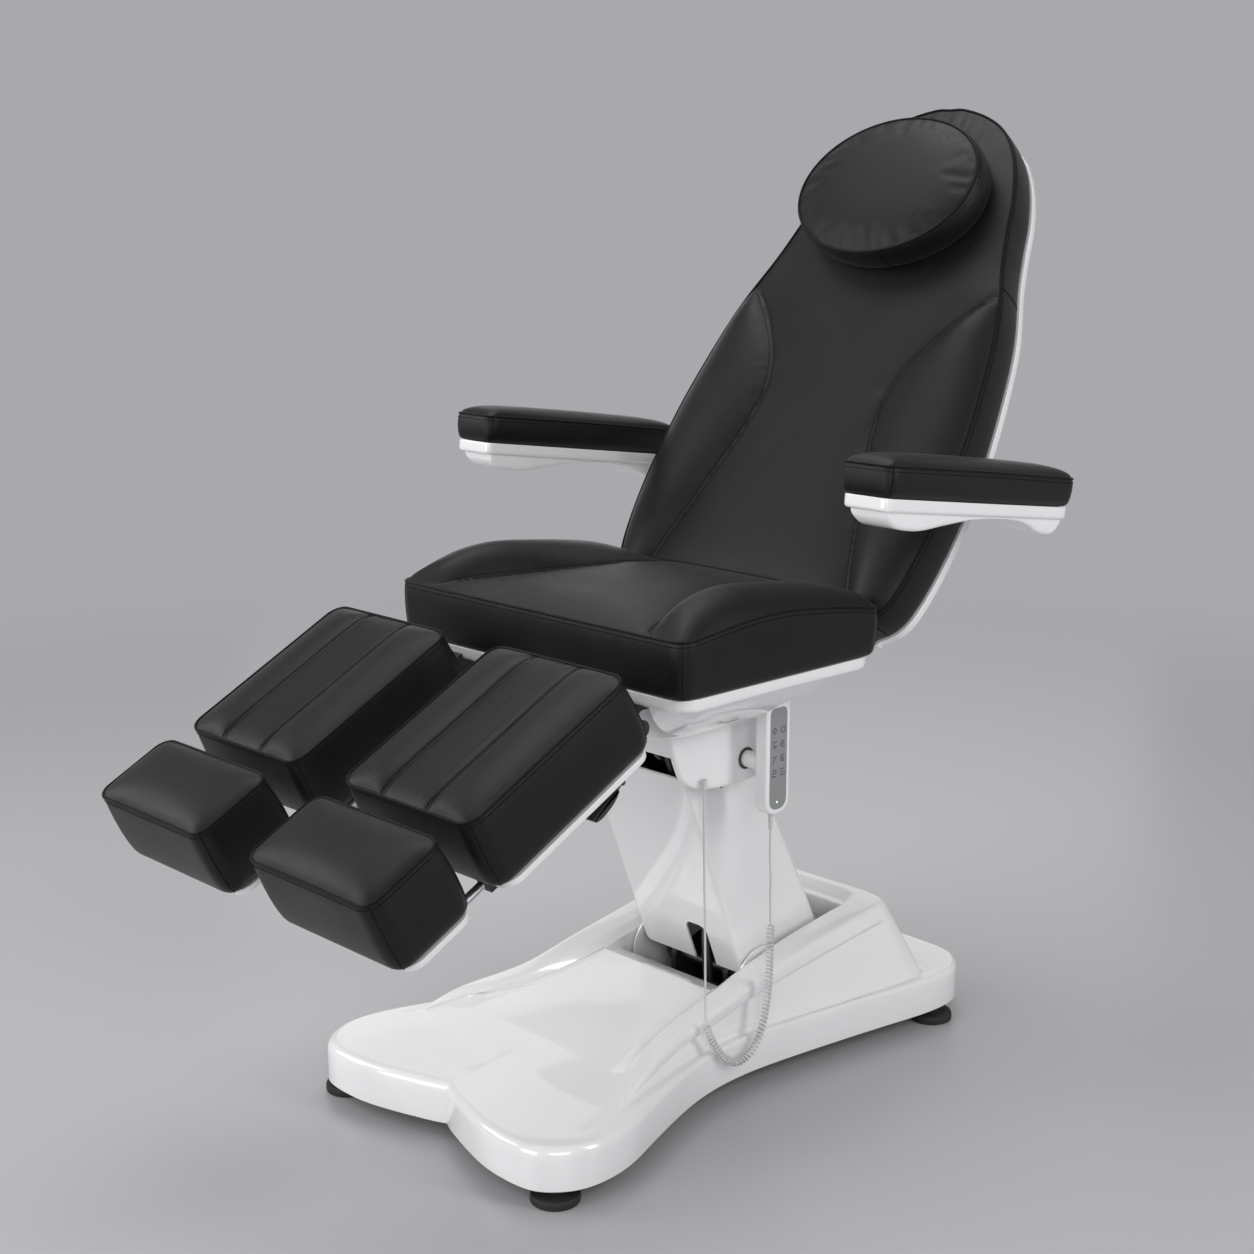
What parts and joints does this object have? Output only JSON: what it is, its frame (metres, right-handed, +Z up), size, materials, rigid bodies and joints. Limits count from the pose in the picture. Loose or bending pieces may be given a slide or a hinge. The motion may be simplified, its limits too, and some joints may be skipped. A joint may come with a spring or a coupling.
{
  "type": "foot care and beauty chair",
  "caption": "Salon foot care chair on a parallelogram lift, with a hinged contoured back, head pillow, swing-up armrests, split tilting leg rests with sliding foot rests and a hung handset.",
  "frame": {"origin": "on the floor, under the middle of the whole chair's box", "axes": "+Z up, +X towards the sitter's left, -Y towards the feet"},
  "size_m": [0.872, 1.4774, 1.4121],
  "materials": {
    "cover": "smooth moulded gloss white",
    "upholstery": "soft black artificial leather, satin",
    "steel": "satin grey",
    "dark_plastic": "fine matt",
    "grey_panel": "satin grey film with dark signs",
    "lead": "smooth pale grey",
    "rubber": "matt black"
  },
  "bodies": {
    "base": {"base_cover": "cover", "base_frame": "steel", "foot_studs": "steel", "levelling_feet": "rubber", "pivot_cheeks": "cover", "lower_pins": "steel"},
    "front_arm": {"front_arm": "steel", "front_arm_cover": "cover"},
    "rear_arm": {"rear_arm": "steel", "rear_arm_cover": "cover"},
    "lift_rod": {"lift_actuator_rod": "steel"},
    "lift_tube": {"lift_actuator_tube": "dark_plastic"},
    "seat": {"seat_frame": "steel", "upper_pins": "steel", "seat_tray": "cover", "pivot_housing": "cover", "seat_cushion": "upholstery", "leg_shaft": "steel", "back_hinge_pins": "steel", "handset_peg": "cover", "peg_ring": "dark_plastic", "handset_shell": "cover", "handset_panel": "grey_panel", "strain_relief": "lead", "lead_ends": "lead", "curly_lead": "lead", "lead_socket": "dark_plastic", "back_actuator_tube": "dark_plastic"},
    "back_rod": {"back_actuator_rod": "steel"},
    "back": {"back_frame": "steel", "back_shell": "cover", "back_cushion": "upholstery", "armrest_pins": "steel"},
    "pillow": {"head_pillow": "upholstery"},
    "armrest_left": {"armrest_shell_left": "cover", "armrest_pad_left": "upholstery"},
    "leg_rest_left": {"leg_frame_left": "steel", "calf_shell_left": "cover", "calf_cushion_left": "upholstery"},
    "foot_rest_left": {"foot_bars_left": "steel", "foot_shell_left": "cover", "foot_cushion_left": "upholstery"},
    "lever_left": {"release_lever_left": "dark_plastic"},
    "armrest_right": {"armrest_shell_right": "cover", "armrest_pad_right": "upholstery"},
    "leg_rest_right": {"leg_frame_right": "steel", "calf_shell_right": "cover", "calf_cushion_right": "upholstery"},
    "foot_rest_right": {"foot_bars_right": "steel", "foot_shell_right": "cover", "foot_cushion_right": "upholstery"},
    "lever_right": {"release_lever_right": "dark_plastic"},
    "key_1_body": {"key_1": "grey_panel"},
    "key_2_body": {"key_2": "grey_panel"},
    "key_3_body": {"key_3": "grey_panel"},
    "key_4_body": {"key_4": "grey_panel"},
    "key_5_body": {"key_5": "grey_panel"},
    "key_6_body": {"key_6": "grey_panel"},
    "key_7_body": {"key_7": "grey_panel"},
    "key_8_body": {"key_8": "grey_panel"}
  },
  "joints": [
    {"name": "lift", "type": "hinge", "parent": "base", "child": "front_arm", "pos_m": [0, 0.1241, 0.115], "axis": [1, 0, 0], "range_deg": [0, 36], "deforming": ["curly_lead", "lead_ends"]},
    {"name": "rear_arm_swing", "type": "hinge", "parent": "base", "child": "rear_arm", "pos_m": [0, 0.2191, 0.15], "axis": [1, 0, 0], "range_deg": [0, 36]},
    {"name": "seat_level", "type": "hinge", "parent": "front_arm", "child": "seat", "pos_m": [0, -0.0285, 0.5063], "axis": [1, 0, 0], "range_deg": [-36, 0]},
    {"name": "lift_actuator_swing", "type": "hinge", "parent": "base", "child": "lift_rod", "pos_m": [0.028, 0.0951, 0.084], "axis": [1, 0, 0], "range_deg": [0, 34]},
    {"name": "lift_actuator_stroke", "type": "slide", "parent": "lift_rod", "child": "lift_tube", "axis": [0, -0.0624, 0.9981], "range_m": [-0.0905, 0]},
    {"name": "back_tilt", "type": "hinge", "parent": "seat", "child": "back", "pos_m": [0, 0.2541, 0.664], "axis": [-1, 0, 0], "range_deg": [-8, 56]},
    {"name": "back_actuator_stroke", "type": "slide", "parent": "seat", "child": "back_rod", "axis": [0, 0.9981, 0.061], "range_m": [-0.057, 0.0085]},
    {"name": "pillow_slide", "type": "slide", "parent": "back", "child": "pillow", "axis": [0, 0.5592, 0.829], "range_m": [-0.06, 0.04]},
    {"name": "armrest_left_swing", "type": "hinge", "parent": "back", "child": "armrest_left", "pos_m": [0.393, 0.36829, 0.83395], "axis": [-1, 0, 0], "range_deg": [0, 110]},
    {"name": "leg_rest_left_tilt", "type": "hinge", "parent": "seat", "child": "leg_rest_left", "pos_m": [0.174, -0.2519, 0.61], "axis": [-1, 0, 0], "range_deg": [-40, 27.5]},
    {"name": "foot_rest_left_slide", "type": "slide", "parent": "leg_rest_left", "child": "foot_rest_left", "axis": [0, -0.887, -0.4617], "range_m": [0, 0.12]},
    {"name": "lever_left_pull", "type": "hinge", "parent": "leg_rest_left", "child": "lever_left", "pos_m": [0.104, -0.34485, 0.57199], "axis": [-1, 0, 0], "range_deg": [0, 8], "stiffness_Nm_per_rad": 3},
    {"name": "armrest_right_swing", "type": "hinge", "parent": "back", "child": "armrest_right", "pos_m": [-0.393, 0.36829, 0.83395], "axis": [-1, 0, 0], "range_deg": [0, 110]},
    {"name": "leg_rest_right_tilt", "type": "hinge", "parent": "seat", "child": "leg_rest_right", "pos_m": [-0.174, -0.2519, 0.61], "axis": [-1, 0, 0], "range_deg": [-40, 27.5]},
    {"name": "foot_rest_right_slide", "type": "slide", "parent": "leg_rest_right", "child": "foot_rest_right", "axis": [0, -0.887, -0.4617], "range_m": [0, 0.12]},
    {"name": "lever_right_pull", "type": "hinge", "parent": "leg_rest_right", "child": "lever_right", "pos_m": [-0.104, -0.34485, 0.57199], "axis": [-1, 0, 0], "range_deg": [0, 8], "stiffness_Nm_per_rad": 3},
    {"name": "key_1_press", "type": "slide", "parent": "seat", "child": "key_1_body", "axis": [-1, 0, 0], "range_m": [0, 0.0006], "stiffness_N_per_m": 200},
    {"name": "key_2_press", "type": "slide", "parent": "seat", "child": "key_2_body", "axis": [-1, 0, 0], "range_m": [0, 0.0006], "stiffness_N_per_m": 200},
    {"name": "key_3_press", "type": "slide", "parent": "seat", "child": "key_3_body", "axis": [-1, 0, 0], "range_m": [0, 0.0006], "stiffness_N_per_m": 200},
    {"name": "key_4_press", "type": "slide", "parent": "seat", "child": "key_4_body", "axis": [-1, 0, 0], "range_m": [0, 0.0006], "stiffness_N_per_m": 200},
    {"name": "key_5_press", "type": "slide", "parent": "seat", "child": "key_5_body", "axis": [-1, 0, 0], "range_m": [0, 0.0006], "stiffness_N_per_m": 200},
    {"name": "key_6_press", "type": "slide", "parent": "seat", "child": "key_6_body", "axis": [-1, 0, 0], "range_m": [0, 0.0006], "stiffness_N_per_m": 200},
    {"name": "key_7_press", "type": "slide", "parent": "seat", "child": "key_7_body", "axis": [-1, 0, 0], "range_m": [0, 0.0006], "stiffness_N_per_m": 200},
    {"name": "key_8_press", "type": "slide", "parent": "seat", "child": "key_8_body", "axis": [-1, 0, 0], "range_m": [0, 0.0006], "stiffness_N_per_m": 200}
  ],
  "couplings": [
    {"joint": "rear_arm_swing", "follows": "lift", "ratio": 1},
    {"joint": "seat_level", "follows": "lift", "ratio": -1},
    {"joint": "lift_actuator_swing", "follows": "lift", "ratio": 0.94063},
    {"joint": "lift_actuator_stroke", "follows": "lift", "m_per_rad": -0.13616},
    {"joint": "back_actuator_stroke", "follows": "back_tilt", "m_per_rad": -0.05752}
  ]
}
